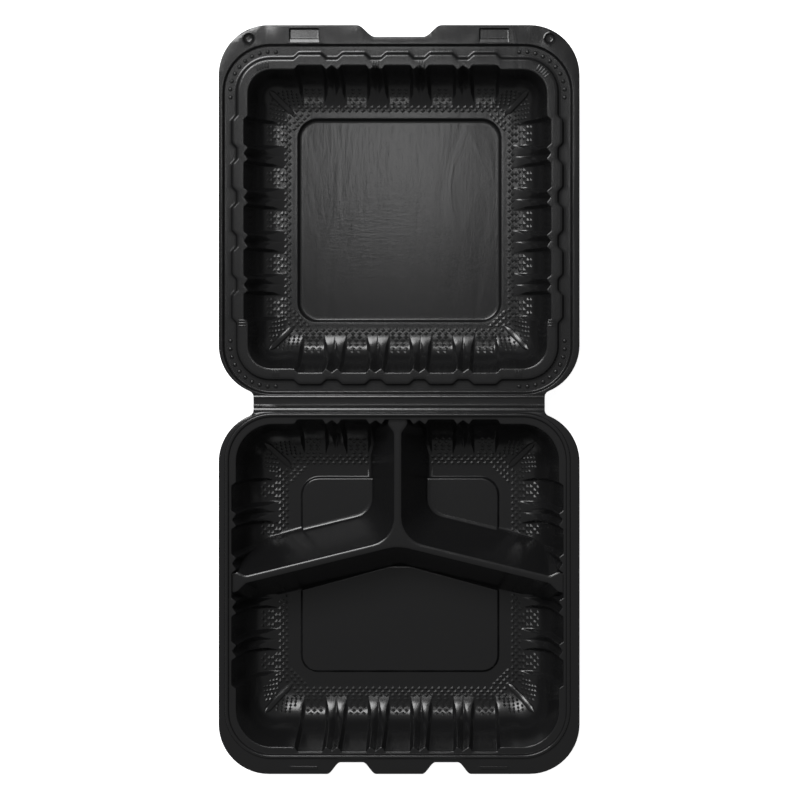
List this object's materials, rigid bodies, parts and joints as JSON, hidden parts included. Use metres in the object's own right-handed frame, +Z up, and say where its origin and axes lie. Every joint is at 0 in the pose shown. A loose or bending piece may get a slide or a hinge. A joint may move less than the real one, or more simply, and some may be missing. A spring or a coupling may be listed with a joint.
{
  "type": "hinged takeout container",
  "caption": "Square black plastic takeout container lying open: fluted lid and fluted tray with Y-shaped dividers, joined by a living hinge.",
  "frame": {"origin": "on the table under the middle of the open container's outline", "axes": "+X along the hinge, +Y from the base to the lid lying open, +Z up out of both hollows"},
  "size_m": [0.231, 0.4794, 0.0436],
  "materials": {
    "black_plastic": "semi-gloss"
  },
  "bodies": {
    "base": {"base": "black_plastic"},
    "lid": {"lid": "black_plastic"}
  },
  "joints": [
    {"name": "lid_hinge", "type": "hinge", "parent": "base", "child": "lid", "pos_m": [0, -0.0018, 0.04215], "axis": [1, 0, 0], "range_deg": [0, 180]}
  ]
}
